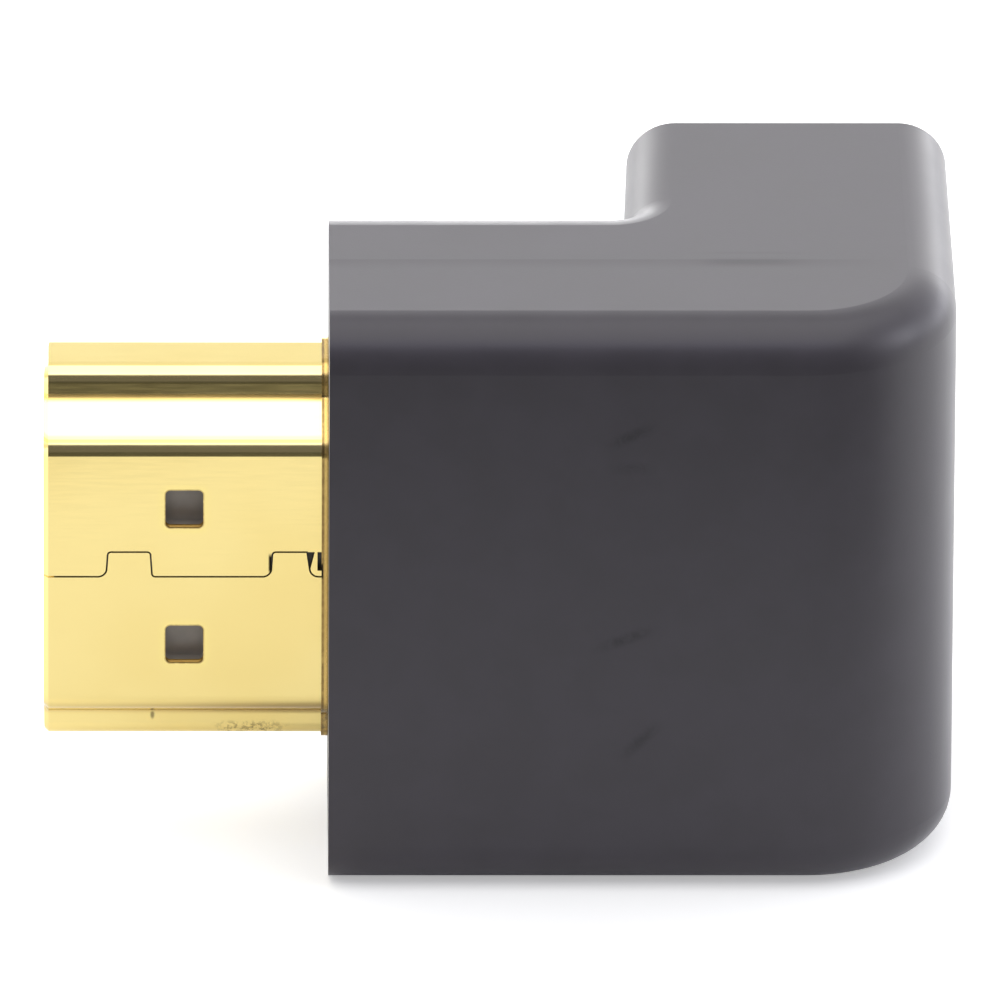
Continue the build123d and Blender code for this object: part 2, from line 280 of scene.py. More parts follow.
    def blend(self, share: object, first: object, second: object) -> Value:
        """Blends two colours.

        Args:
            share: How much of the second colour there is.
            first: The first colour.
            second: The second colour.

        Returns:
            The blended colour.
        """
        node = self.node("Mix", data_type="RGBA")
        for key, value in ((0, share), (6, first), (7, second)):
            self.feed(node, key, value)
        return node.outputs[2]

    def mix(self, share: object, first: object, second: object) -> Value:
        """Mixes two numbers.

        Args:
            share: How much of the second number there is.
            first: The first number.
            second: The second number.

        Returns:
            The mixed number.
        """
        node = self.node("Mix", data_type="FLOAT")
        for key, value in ((0, share), (2, first), (3, second)):
            self.feed(node, key, value)
        return node.outputs[0]

    def bump(self, height: Value, depth: float, normal: Value | None = None) -> Value:
        """Turns a height into a bumped normal.

        Args:
            height: The height, from 0 to 1.
            depth: The relief that a height of 1 stands for.
            normal: A bumped normal to start from.

        Returns:
            The new normal.
        """
        node = self.node("Bump")
        self.feed(node, "Strength", 1.0)
        self.feed(node, "Distance", depth)
        self.feed(node, "Height", height)
        if normal is not None:
            self.feed(node, "Normal", normal)
        return node.outputs[0]


@dataclass
class Skin:
    """The look that a finish builds up before it goes into its shader.

    Attributes:
        graph: The material's node tree.
        colour: The base colour.
        rough: The roughness.
        normal: The bumped normal.
    """

    graph: Graph
    colour: Value
    rough: Value
    normal: Value | None = None

    def paint(self, mark: Value, colour: Colour, share: float = 1.0, rougher: float = 0.0) -> None:
        """Lays a colour over the marked places.

        Args:
            mark: How much of the paint lies at each place.
            colour: The paint's colour.
            share: How much of the paint's colour shows where the mark is full.
            rougher: What a full mark adds to the roughness.
        """
        cover = mark if share == 1.0 else self.graph.times(mark, share)
        self.colour = self.graph.blend(cover, self.colour, colour)
        if rougher:
            self.rough = self.graph.plus(self.rough, self.graph.times(mark, rougher))

    def relief(self, height: Value, depth: float) -> None:
        """Adds a relief of the given depth."""
        self.normal = self.graph.bump(height, depth, self.normal)


@dataclass(frozen=True)
class Finish:
    """A procedural material with a Principled shader.

    Attributes:
        name: The material's name.
        slot: The record's material slot that it belongs to; not used.
    """

    name: str
    slot: Slot

    def material(self) -> bpy.types.Material:
        """Makes the material.

        Returns:
            A new material whose surface is this finish.
        """
        material = bpy.data.materials.new(self.name)
        material.use_nodes = True
        graph = Graph(material.node_tree)
        skin = self.skin(graph, graph.place())
        looks = {"Base Color": skin.colour, "Roughness": skin.rough, "Normal": skin.normal}
        shader = graph.node("BsdfPrincipled")
        for key, value in {**looks, **self.constants()}.items():
            graph.feed(shader, key, value)
        graph.feed(graph.node("OutputMaterial"), "Surface", shader.outputs[0])
        return material

    def skin(self, graph: Graph, place: Value) -> Skin:
        """Builds up the look, which each finish does in its own way.

        Args:
            graph: The material's node tree.
            place: The Object coordinates.

        Returns:
            The look, ready for the shader.
        """
        raise NotImplementedError

    def constants(self) -> Constants:
        """Returns the shader's inputs that are the same all over the surface."""
        return {}


@dataclass(frozen=True)
class Scuff:
    """A short faint stroke on the face that the camera sees.

    Attributes:
        middle: Its middle in X and Z.
        half_length: Half its length, where it has almost faded out.
        lean: Its angle from X toward Z, in degrees.
        share: How dark it is, where 1 is the darkest colour.
        fade: Half widths over which its sides fade out.
        overrun: Factor on the half length where its ends have faded out.
    """

    middle: Pair
    half_length: float
    lean: float
    share: float
    fade: Span = (0.0, 0.32 * MM)
    overrun: float = 1.3

    def mark(self, graph: Graph, place: Value) -> Value:
        """Draws the scuff.

        Args:
            graph: The material's node tree.
            place: The Object coordinates.

        Returns:
            The scuff's mark, 1 in its middle.
        """
        x = graph.minus(graph.along(place, Axis.X), self.middle[0])
        z = graph.minus(graph.along(place, Axis.Z), self.middle[1])
        c, s = cos(radians(self.lean)), sin(radians(self.lean))
        length = graph.plus(graph.times(x, c), graph.times(z, s))
        width = graph.minus(graph.times(z, c), graph.times(x, s))
        ends = graph.band(length, 0.0, (0.0, self.overrun * self.half_length))
        return graph.times(ends, graph.band(width, 0.0, self.fade))


@dataclass(frozen=True)
class SatinMoulding(Finish):
    """Dark satin plastic from a finely blasted mould, with a soft parting line in painted shade, a smudge on it
    and scuffs.

    Attributes:
        shade_dark: Colour of the darker patches.
        shade_light: Colour of the lighter patches.
        gloss: Least and most roughness of the clean surface.
        patches: Pattern of the patches.
        blasting: Grain of the blasted mould.
        blasting_depth: Depth of that grain.
        ripple: Pattern of the surface's slight waves.
        ripple_depth: Depth of the waves.
        specular: Strength of the reflections.
        sheen: Strength of the sheen.
        sheen_rough: Roughness of the sheen.
        dirt_and_shade: Colour of the parting line with its painted shade, the smudge and the scuffs.
        parting_edge: Places along Y over which the line's sharp edge ends.
        parting_fade: Places along Y over which the line's soft side, painted shade of the mould's draft, comes
            in.
        parting_end: Places along X over which the line fades out.
        parting_shade_share: How dark the line and its painted shade are.
        parting_rough: What the line and its smudge add to the roughness.
        smudge: Middle of the smudge in X and Y.
        smudge_length: Half lengths over which the smudge fades out.
        smudge_width: Half widths over which the smudge fades out.
        smudge_share: How dark the smudge is.
        arc_y: Place along Y of the thin arc behind the smudge.
        arc_rise: How far the arc bows toward +Y in its middle.
        arc_width: Half widths over which the arc fades out.
        arc_share: How dark the arc is.
        front: Places along Y over which the scuffs fade out behind the front face.
        scuffs: The scuffs.
        scuff_rough: What a scuff adds to the roughness.
        smear: Pattern of the streaks in a scuff.
        smear_span: Values of that pattern over which a scuff goes from thin to full.
        smear_levels: How much of a scuff shows where it is thin and where it is full.
    """

    shade_dark: Colour = (0.064, 0.0585, 0.067)
    shade_light: Colour = (0.069, 0.0630, 0.073)
    gloss: Span = (0.34, 0.39)
    patches: Grain = Grain(420.0, detail=3.0, roughness=0.55)
    blasting: Grain = Grain(13000.0, roughness=0.6)
    blasting_depth: float = 1.6e-6
    ripple: Grain = Grain(700.0, detail=1.0)
    ripple_depth: float = 2.0e-6
    specular: float = 0.34
    sheen: float = 0.38
    sheen_rough: float = 0.35
    dirt_and_shade: Colour = (0.022, 0.020, 0.024)
    parting_edge: Span = (0.64 * MM, 0.67 * MM)
    parting_fade: Span = (-0.21 * MM, 0.64 * MM)
    parting_end: Span = (15.6 * MM, 19.5 * MM)
    parting_shade_share: float = 0.38
    parting_rough: float = 0.12
    smudge: Pair = (14.3 * MM, 0.45 * MM)
    smudge_length: Span = (0.48 * MM, 2.4 * MM)
    smudge_width: Span = (0.06 * MM, 0.46 * MM)
    smudge_share: float = 0.4
    arc_y: float = 1.11 * MM
    arc_rise: float = 0.06 * MM
    arc_width: Span = (0.02 * MM, 0.14 * MM)
    arc_share: float = 0.16
    front: Span = (-4.8 * MM, -4.7 * MM)
    scuffs: tuple[Scuff, ...] = ()
    scuff_rough: float = 0.05
    smear: Grain = Grain(1900.0, detail=4.0, roughness=0.65, warp=1.6)
    smear_span: Span = (0.35, 0.60)
    smear_levels: Span = (0.35, 1.0)

    def parting(self, graph: Graph, place: Value) -> Value:
        """Draws the parting line with its painted shade, its smudge and the arc behind it.

        Args:
            graph: The material's node tree.
            place: The Object coordinates.

        Returns:
            How dark the line is at each place.
        """
        x, y = graph.along(place, Axis.X), graph.along(place, Axis.Y)
        # The darker band leading up to the parting line is painted shade of the mould halves' draft.
        line = graph.times(graph.ramp(y, self.parting_edge, FALL), graph.ramp(y, self.parting_fade))
        line = graph.times(line, graph.ramp(x, self.parting_end, (self.parting_shade_share, 0.0)))
        middle, level = self.smudge
        length = graph.band(x, middle, self.smudge_length)
        smudge = graph.times(length, graph.band(y, level, self.smudge_width))
        bow = graph.plus(self.arc_y, graph.times(length, self.arc_rise))
        arc = graph.times(length, graph.band(y, bow, self.arc_width))
        both = graph.plus(graph.times(smudge, self.smudge_share), graph.times(arc, self.arc_share))
        return graph.plus(line, both)

    def skin(self, graph: Graph, place: Value) -> Skin:
        """Builds up patchy colour, grain, the parting line with its painted shade, and the scuffs.

        Args:
            graph: The material's node tree.
            place: The Object coordinates.

        Returns:
            The look, ready for the shader.
        """
        patches = graph.noise(place, self.patches)
        colour = graph.blend(graph.ramp(patches, SOFT), self.shade_dark, self.shade_light)
        skin = Skin(graph, colour, graph.ramp(patches, WIDE, self.gloss))
        skin.relief(graph.noise(place, self.blasting), self.blasting_depth)
        skin.relief(graph.noise(place, self.ripple), self.ripple_depth)
        skin.paint(self.parting(graph, place), self.dirt_and_shade, rougher=self.parting_rough)
        on_front = graph.ramp(graph.along(place, Axis.Y), self.front, FALL)
        streaks = graph.ramp(graph.noise(place, self.smear), self.smear_span, self.smear_levels)
        streaks = graph.times(on_front, streaks)
        for scuff in self.scuffs:
            skin.paint(graph.times(scuff.mark(graph, place), streaks), self.dirt_and_shade, scuff.share, self.scuff_rough)
        return skin

    def constants(self) -> Constants:
        """Returns the strength of the reflections and of the sheen."""
        return {
            "Specular IOR Level": self.specular,
            "Sheen Weight": self.sheen,
            "Sheen Roughness": self.sheen_rough,
        }


@dataclass(frozen=True)
class GoldPlating(Finish):
    """Bright pale gold over rolled sheet, with drifting colour and faint rolling lines.

    Attributes:
        bright: Colour of clean plating.
        deep: Colour where the plating is a little thicker.
        tarnish_and_shade: Colour of tarnished plating, also used for painted shade on the plug and the collar.
        gloss: Least and most roughness of clean plating.
        drift: Pattern of the drifting colour.
        rolling: Pattern of the rolling lines, drawn out along X.
        rolling_depth: Depth of the lines.
        waves: Pattern of the sheet's slight waves.
        waves_depth: Depth of the waves.
    """

    bright: Colour = (0.97, 0.79, 0.325)
    deep: Colour = (0.94, 0.75, 0.29)
    tarnish_and_shade: Colour = (0.36, 0.23, 0.10)
    gloss: Span = (0.11, 0.16)
    drift: Grain = Grain(160.0)
    rolling: Grain = Grain(9000.0, detail=3.0, roughness=0.6, stretch=(0.06, 1.0, 1.0))
    rolling_depth: float = 2.5e-7
    waves: Grain = Grain(230.0, detail=1.0, stretch=(1.0, 1.0, 0.4))
    waves_depth: float = 6.0e-6

    def skin(self, graph: Graph, place: Value) -> Skin:
        """Builds up clean plating, then whatever wear the kind of piece has.

        Args:
            graph: The material's node tree.
            place: The Object coordinates.

        Returns:
            The look, ready for the shader.
        """
        colour = graph.blend(graph.ramp(graph.noise(place, self.drift), SOFT), self.bright, self.deep)
        lines = graph.noise(place, self.rolling)
        skin = Skin(graph, colour, graph.ramp(lines, WIDE, self.gloss))
        skin.relief(lines, self.rolling_depth)
        skin.relief(graph.noise(place, self.waves), self.waves_depth)
        self.wear(graph, place, skin)
        return skin

    def wear(self, graph: Graph, place: Value, skin: Skin) -> None:
        """Adds wear, of which plain plating has none.

        Args:
            graph: The material's node tree.
            place: The Object coordinates.
            skin: The clean plating, which takes the wear.
        """

    def constants(self) -> Constants:
        """Returns the metal's full weight."""
        return {"Metallic": 1.0}


@dataclass(frozen=True)
class SlopeReflectionBand:
    """A level band of painted reflection along the upper slope of the plug.

    Attributes:
        z: Height of its middle.
        half: Half widths over which it fades out.
        colour: Its colour.
        rougher: What it adds to the roughness.
    """

    z: float
    half: Span
    colour: Colour
    rougher: float = 0.0


@dataclass(frozen=True)
class PlugPlating(GoldPlating):
    """Plating of the plug's folded sheet: cut window edges, grime, and painted shade at the fold, a dent and an
    open seam.

    Depths are measured inward from the face that the windows are in.

    Attributes:
        face_y: Place of that face along Y.
        specks: Pattern that mottles the painted shade round the windows and flecks the grime.
        windows: Middle of each window in X and Z.
        window_half: Half a window's size in X and Z.
        window_radius: Radius of a window's corners.
        painted_glow: Colour of the painted glow round a window.
        painted_glow_reach: Distances from the window over which the glow fades out.
        painted_glow_share: Strength of the glow.
        rim_reach: Distances from the window over which its rim fades out.
        rim_shade: Colour of the painted shade on a window's rounded rim.
        rim_shade_span: Values of the specks over which the rim's painted shade goes from light to full.
        rim_shade_levels: Strength of that painted shade at those two ends.
        cut_edge: Colour of the cut edges inside the windows.
        cut_depth: Depths over which the cut edge begins.
        cut_rough: What the cut edge adds to the roughness.
        roll_depth: Depths over which the rim rolls inward.
        roll_relief: Relief of the rolled rim.
        fold_top: Heights over which the painted shade along the lower fold begins.
        fold_foot: Heights over which it ends.
        fold_along: Places along X over which it deepens toward the collar.
        fold_levels: Its strength at the tip and at the collar.
        grime: Colour of the grime below the fold.
        grime_middle: Middle of the grime.
        grime_reach: Distances from its middle over which it thins out.
        grime_z: Heights over which it thickens downward.
        grime_span: Values of the specks over which a fleck of it comes in.
        grime_share: Strength of the grime.
        grime_rough: What it adds to the roughness.
        dent: Middle of the small dent, whose shade is painted.
        dent_stretch: Factor on heights, which draws the dent out along Z.
        dent_reach: Distances over which the dent fades out.
        dent_shade: Colour of the dent's painted shade.
        dent_share: Strength of that painted shade.
        open_seam: Middle of the seam's open stretch in X and Z.
        seam_width: Half widths over which the open stretch fades out along X.
        seam_height: Half heights over which it fades out along Z.
        seam_depth: Depths over which it ends.
        seam_shade: Colour of the painted shade in the open stretch.
        slope_depth: Depths over which the upper slope's painted reflection bands end.
        slope_reflection_bands: Those bands of painted reflection, which are the dull one at its foot, the pale
            one below it and
        the yellow one along its lower edge.
    """

    face_y: float = -2.225 * MM
    specks: Grain = Grain(5200.0, detail=5.0, roughness=0.7)
    windows: tuple[Pair, ...] = ((-4.89 * MM, 2.545 * MM), (-4.89 * MM, -2.545 * MM))
    window_half: Pair = (0.64 * MM, 0.705 * MM)
    window_radius: float = 0.18 * MM
    painted_glow: Colour = (1.0, 0.83, 0.30)
    painted_glow_reach: Span = (0.06 * MM, 0.34 * MM)
    painted_glow_share: float = 0.45
    rim_reach: Span = (0.015 * MM, 0.055 * MM)
    rim_shade: Colour = (0.34, 0.19, 0.06)
    rim_shade_span: Span = (0.3, 0.6)
    rim_shade_levels: Span = (0.25, 0.7)
    cut_edge: Colour = (0.62, 0.41, 0.12)
    cut_depth: Span = (0.01 * MM, 0.05 * MM)
    cut_rough: float = 0.25
    roll_depth: Span = (0.0, 0.3 * MM)
    roll_relief: float = 0.12 * MM
    fold_top: Span = (-4.62 * MM, -4.98 * MM)
    fold_foot: Span = (-6.08 * MM, -5.86 * MM)
    fold_along: Span = (-8.0 * MM, -1.0 * MM)
    fold_levels: Span = (0.26, 0.70)
    grime: Colour = (0.22, 0.17, 0.08)
    grime_middle: Point = (-2.6 * MM, -0.3 * MM, -6.6 * MM)
    grime_reach: Span = (0.4 * MM, 1.6 * MM)
    grime_z: Span = (-6.2 * MM, -6.5 * MM)
    grime_span: Span = (0.46, 0.58)
    grime_share: float = 0.55
    grime_rough: float = 0.25
    dent: Point = (-5.97 * MM, -0.45 * MM, -6.06 * MM)
    dent_stretch: float = 0.42
    dent_reach: Span = (0.03 * MM, 0.10 * MM)
    dent_shade: Colour = (0.10, 0.08, 0.05)
    dent_share: float = 0.7
    open_seam: Pair = (-1.975 * MM, 0.50 * MM)
    seam_width: Span = (0.02 * MM, 0.09 * MM)
    seam_height: Span = (0.22 * MM, 0.42 * MM)
    seam_depth: Span = (0.30 * MM, 0.36 * MM)
    seam_shade: Colour = (0.012, 0.009, 0.006)
    slope_depth: Span = (2.0 * MM, 2.1 * MM)
    slope_reflection_bands: tuple[SlopeReflectionBand, ...] = (
        SlopeReflectionBand(5.93 * MM, (0.06 * MM, 0.13 * MM), (1.0, 0.70, 0.22), rougher=0.32),
        SlopeReflectionBand(5.47 * MM, (0.30 * MM, 0.38 * MM), (0.97, 0.85, 0.43)),
        SlopeReflectionBand(5.0 * MM, (0.03 * MM, 0.07 * MM), (0.97, 0.78, 0.18)),
    )

    def wear(self, graph: Graph, place: Value, skin: Skin) -> None:
        """Adds the wear of the plug, with its painted shade and painted reflections.

        Args:
            graph: The material's node tree.
            place: The Object coordinates.
            skin: The clean plating, which takes the wear.
        """
        x, z = graph.along(place, Axis.X), graph.along(place, Axis.Z)
        depth = graph.minus(graph.along(place, Axis.Y), self.face_y)
        specks = graph.noise(place, self.specks)
        self.rim_windows(graph, place, skin, depth, specks)
        # Painted shade along the lower fold, deeper toward the collar.
        fold = graph.times(graph.ramp(z, self.fold_top), graph.ramp(z, self.fold_foot))
        skin.paint(graph.times(fold, graph.ramp(x, self.fold_along, self.fold_levels)), self.tarnish_and_shade)
        near = graph.ramp(graph.distance(place, self.grime_middle), self.grime_reach, FALL)
        flecks = graph.times(graph.ramp(z, self.grime_z), graph.ramp(specks, self.grime_span))
        skin.paint(graph.times(near, flecks), self.grime, self.grime_share, self.grime_rough)
        # Painted shade of a small dent.
        long_dent = (self.dent[0], self.dent[1], self.dent_stretch * self.dent[2])
        away = graph.distance(graph.stretched(place, (1.0, 1.0, self.dent_stretch)), long_dent)
        skin.paint(graph.ramp(away, self.dent_reach, FALL), self.dent_shade, self.dent_share)
        # Painted shade in the seam's open stretch.
        gap = graph.times(
            graph.band(x, self.open_seam[0], self.seam_width),
            graph.band(z, self.open_seam[1], self.seam_height),
        )
        skin.paint(graph.times(gap, graph.ramp(depth, self.seam_depth, FALL)), self.seam_shade)
        # Painted reflection bands along the upper slope.
        ahead = graph.ramp(depth, self.slope_depth, FALL)
        for line in self.slope_reflection_bands:
            mark = graph.times(graph.band(z, line.z, line.half), ahead)
            skin.paint(mark, line.colour, rougher=line.rougher)

    def rim_windows(self, graph: Graph, place: Value, skin: Skin, depth: Value, specks: Value) -> None:
        """Adds the painted glow, the painted shade of the rounded rim and the cut edge of each window.

        Args:
            graph: The material's node tree.
            place: The Object coordinates.
            skin: The plating, which takes the rims.
            depth: The depth behind the face.
            specks: The pattern that mottles the rim's painted shade.
        """
        inward, rolled = graph.ramp(depth, self.cut_depth), graph.ramp(depth, self.roll_depth)
        for middle in self.windows:
            away = graph.outline(place, middle, self.window_half, self.window_radius)
            # Painted glow round the window.
            skin.paint(graph.ramp(away, self.painted_glow_reach, FALL), self.painted_glow, self.painted_glow_share)
            # Painted shade on the window's rounded rim, mottled by the specks.
            rim = graph.ramp(away, self.rim_reach, FALL)
            skin.paint(graph.times(rim, graph.ramp(specks, self.rim_shade_span, self.rim_shade_levels)), self.rim_shade)
            skin.paint(graph.times(rim, inward), self.cut_edge, rougher=self.cut_rough)
            skin.relief(graph.times(rim, rolled), self.roll_relief)


@dataclass(frozen=True)
class CollarPlating(GoldPlating):
    """Duller, browner plating of the collar behind the plug: a dark front edge, partly painted shade, and a
    fringe.

    Attributes:
        stains: Pattern of the stains.
        edge_x: Place along X of the dark line at the front edge: painted shade at the step, partly tarnished.
        edge_half: Half widths over which that line fades out.
        edge_span: Values of the stains over which it goes from faint to strong.
        edge_levels: Its strength where it is faint and where it is strong.
        fringe_x: Places along X over which the fringe against the housing begins.
        fringe_share: Strength of the fringe.
        fringe_span: Values of the stains over which it goes from thin to full.
        fringe_levels: How much of it shows where it is thin and where it is full.
        fringe_rough: What it adds to the roughness.
        nub_z: Height of the black mark at the seam: painted shade of the gap there, with some tarnishing.
        nub_half: Half heights over which the mark fades out.
        nub_x: Places along X over which it begins.
        nub_y: Places along Y over which it ends.
        nub_shade: Colour of that painted shade.
        blotch: Colour of the blotches near the foot.
        blotch_z: Heights over which they begin downward.
        blotch_span: Values of the stains over which they come in.
        blotch_levels: Their strength between and in the stains.
    """

    bright: Colour = (0.88, 0.62, 0.20)
    deep: Colour = (0.79, 0.54, 0.165)
    tarnish_and_shade: Colour = (0.20, 0.12, 0.05)
    gloss: Span = (0.22, 0.27)
    stains: Grain = Grain(2600.0, detail=5.0, roughness=0.7)
    edge_x: float = -0.195 * MM
    edge_half: Span = (0.015 * MM, 0.075 * MM)
    edge_span: Span = (0.3, 0.65)
    edge_levels: Span = (0.45, 0.85)
    fringe_x: Span = (-0.09 * MM, 0.02 * MM)
    fringe_share: float = 0.85
    fringe_span: Span = (0.25, 0.6)
    fringe_levels: Span = (0.6, 1.0)
    fringe_rough: float = 0.2
    nub_z: float = 0.28 * MM
    nub_half: Span = (0.20 * MM, 0.36 * MM)
    nub_x: Span = (-0.17 * MM, -0.20 * MM)
    nub_y: Span = (-2.2 * MM, -2.0 * MM)
    nub_shade: Colour = (0.02, 0.016, 0.012)
    blotch: Colour = (0.24, 0.19, 0.12)
    blotch_z: Span = (-4.6 * MM, -5.2 * MM)
    blotch_span: Span = (0.42, 0.6)
    blotch_levels: Span = (0.2, 0.75)

    def wear(self, graph: Graph, place: Value, skin: Skin) -> None:
        """Adds the dark edge, partly painted shade, the fringe, the painted shade of the seam's gap and the
        blotches.

        Args:
            graph: The material's node tree.
            place: The Object coordinates.
            skin: The clean plating, which takes the wear.
        """
        x, y, z = (graph.along(place, axis) for axis in Axis)
        stains = graph.noise(place, self.stains)
        # Dark line at the front edge: painted shade at the step, partly tarnished.
        edge = graph.band(x, self.edge_x, self.edge_half)
        skin.paint(graph.times(edge, graph.ramp(stains, self.edge_span, self.edge_levels)), self.tarnish_and_shade)
        fringe = graph.ramp(x, self.fringe_x, (0.0, self.fringe_share))
        fringe = graph.times(fringe, graph.ramp(stains, self.fringe_span, self.fringe_levels))
        skin.paint(fringe, self.tarnish_and_shade, rougher=self.fringe_rough)
        # Black mark at the seam: painted shade of the gap there, with some tarnishing.
        nub = graph.times(graph.band(z, self.nub_z, self.nub_half), graph.ramp(x, self.nub_x))
        skin.paint(graph.times(nub, graph.ramp(y, self.nub_y, FALL)), self.nub_shade)
        blotch = graph.times(
            graph.ramp(z, self.blotch_z),
            graph.ramp(stains, self.blotch_span, self.blotch_levels),
        )
        skin.paint(blotch, self.blotch)


@dataclass(frozen=True)
class FilledNylon(Finish):
    """Black glass-filled nylon of the insulators, slightly glossy with short fibre marks.

    Attributes:
        shade_dark: Colour of the darker patches.
        shade_light: Colour of the lighter patches.
        gloss: Least and most roughness.
        specular: Strength of the reflections.
        patches: Pattern of the patches.
        fibres: Pattern of the fibre marks, drawn out along X.
        fibre_depth: Depth of the fibre marks.
        windows: Middle of each latch window over the nylon, in X and Z, where the nylon is painted paler as if
            lit.
        window_half: Half the size in X and Z of the pocket that is painted paler.
        window_radius: Radius of its corners.
        painted_window_light: Colour of the painted light in the window pockets.
        painted_light_edge: Distances from the pocket over which the painted light ends.
        painted_light_y: Distances from the plug's middle plane over which the painted light begins.
        painted_light_levels: Its strength in thin and in thick patches.
    """

    shade_dark: Colour = (0.030, 0.029, 0.028)
    shade_light: Colour = (0.044, 0.042, 0.040)
    gloss: Span = (0.33, 0.46)
    specular: float = 0.85
    patches: Grain = Grain(900.0, detail=4.0, roughness=0.6)
    fibres: Grain = Grain(11000.0, detail=3.0, roughness=0.7, stretch=(0.25, 1.0, 1.0))
    fibre_depth: float = 1.5e-6
    windows: tuple[Pair, ...] = ()
    window_half: Pair = (0.80 * MM, 0.87 * MM)
    window_radius: float = 0.2 * MM
    painted_window_light: Colour = (0.460, 0.430, 0.380)
    painted_light_edge: Span = (0.0, 0.05 * MM)
    painted_light_y: Span = (1.2 * MM, 1.35 * MM)
    painted_light_levels: Span = (0.85, 1.0)

    def skin(self, graph: Graph, place: Value) -> Skin:
        """Builds up patchy colour, fibre marks and the painted light in the windows.

        Args:
            graph: The material's node tree.
            place: The Object coordinates.

        Returns:
            The look, ready for the shader.
        """
        patches, fibres = graph.noise(place, self.patches), graph.noise(place, self.fibres)
        colour = graph.blend(graph.ramp(patches, SOFT), self.shade_dark, self.shade_light)
        skin = Skin(graph, colour, graph.ramp(fibres, WIDE, self.gloss))
        skin.relief(fibres, self.fibre_depth)
        # Painted light: the nylon under the latch windows is made paler, as if lit.
        outer = graph.ramp(graph.math("ABSOLUTE", graph.along(place, Axis.Y)), self.painted_light_y)
        outer = graph.times(outer, graph.ramp(patches, WIDE, self.painted_light_levels))
        for middle in self.windows:
            away = graph.outline(place, middle, self.window_half, self.window_radius)
            skin.paint(graph.times(outer, graph.ramp(away, self.painted_light_edge, FALL)), self.painted_window_light)
        return skin

    def constants(self) -> Constants:
        """Returns the strength of the reflections."""
        return {"Specular IOR Level": self.specular}


@dataclass(frozen=True)
class ContactPlating(Finish):
    """Gold flash over nickel on the contacts, with fine stamping lines along each one.

    Attributes:
        gold: Colour of the gold flash.
        nickel: Colour where the nickel shows through.
        gloss: Least and most roughness.
        lines: Pattern of the stamping lines.
        line_depth: Depth of the lines.
        worn: Pattern of the worn patches.
        worn_span: Values of that pattern over which the gold wears through.
    """

    gold: Colour = (0.93, 0.71, 0.31)
    nickel: Colour = (0.80, 0.72, 0.55)
    gloss: Span = (0.18, 0.28)
    lines: Grain = Grain(16000.0, detail=3.0, roughness=0.6, stretch=(0.05, 1.0, 1.0))
    line_depth: float = 4.0e-7
    worn: Grain = Grain(2600.0, detail=4.0, roughness=0.6)
    worn_span: Span = (0.52, 0.68)

    def skin(self, graph: Graph, place: Value) -> Skin:
        """Builds up worn patches and stamping lines.

        Args:
            graph: The material's node tree.
            place: The Object coordinates.

        Returns:
            The look, ready for the shader.
        """
        worn, lines = graph.noise(place, self.worn), graph.noise(place, self.lines)
        colour = graph.blend(graph.ramp(worn, self.worn_span), self.gold, self.nickel)
        skin = Skin(graph, colour, graph.ramp(lines, WIDE, self.gloss))
        skin.relief(lines, self.line_depth)
        return skin

    def constants(self) -> Constants:
        """Returns the metal's full weight."""
        return {"Metallic": 1.0}


@dataclass(frozen=True)
class LacqueredLaminate(Finish):
    """Green lacquer over woven glass laminate.

    Attributes:
        lacquer: Colour of the lacquer.
        thin: Colour where the lacquer is thin over the weave.
        gloss: Least and most roughness.
        threads_per_metre: Scale of the weave.
        thread_warp: How uneven the threads are.
        weave_depth: Depth of the weave.
        uneven: Pattern of the uneven gloss.
    """

    lacquer: Colour = (0.015, 0.100, 0.042)
    thin: Colour = (0.045, 0.170, 0.080)
    gloss: Span = (0.24, 0.36)
    threads_per_metre: float = 620.0
    thread_warp: float = 0.4
    weave_depth: float = 3.0e-6
    uneven: Grain = Grain(1400.0, detail=3.0)

    def skin(self, graph: Graph, place: Value) -> Skin:
        """Builds up the weave that shows through the lacquer.

        Args:
            graph: The material's node tree.
            place: The Object coordinates.

        Returns:
            The look, ready for the shader.
        """
        threads = []
        for axis in (Axis.X, Axis.Z):
            wave = graph.node("TexWave", bands_direction=axis.name)
            graph.feed(wave, "Vector", place)
            graph.feed(wave, "Scale", self.threads_per_metre)
            graph.feed(wave, "Distortion", self.thread_warp)
            threads.append(wave.outputs["Fac"])
        weave = graph.times(*threads)
        rough = graph.ramp(graph.noise(place, self.uneven), WIDE, self.gloss)
        skin = Skin(graph, graph.blend(weave, self.lacquer, self.thin), rough)
        skin.relief(weave, self.weave_depth)
        return skin


@dataclass(frozen=True)
class NaturalMoulding(Finish):
    """Milky natural plastic of the inner mould, with soft flow lines.

    Attributes:
        milky: Colour of the clear patches.
        cloudy: Colour of the cloudy patches.
        gloss: Least and most roughness.
        flow: Pattern of the flow lines.
        grain: Fine grain of the surface.
        grain_depth: Depth of that grain.
        glow: Share of the light that goes into the plastic.
        glow_reach: How far that light spreads.
    """

    milky: Colour = (0.56, 0.55, 0.50)
    cloudy: Colour = (0.47, 0.45, 0.39)
    gloss: Span = (0.42, 0.56)
    flow: Grain = Grain(520.0, detail=3.0, warp=1.2)
    grain: Grain = Grain(6000.0)
    grain_depth: float = 3.0e-6
    glow: float = 0.15
    glow_reach: float = 0.4 * MM

    def skin(self, graph: Graph, place: Value) -> Skin:
        """Builds up flow lines and cloudy patches.

        Args:
            graph: The material's node tree.
            place: The Object coordinates.

        Returns:
            The look, ready for the shader.
        """
        flow = graph.noise(place, self.flow)
        colour = graph.blend(graph.ramp(flow, SOFT), self.milky, self.cloudy)
        skin = Skin(graph, colour, graph.ramp(flow, WIDE, self.gloss))
        skin.relief(graph.noise(place, self.grain), self.grain_depth)
        return skin

    def constants(self) -> Constants:
        """Returns how light goes into the plastic."""
        return {"Subsurface Weight": self.glow, "Subsurface Scale": self.glow_reach}


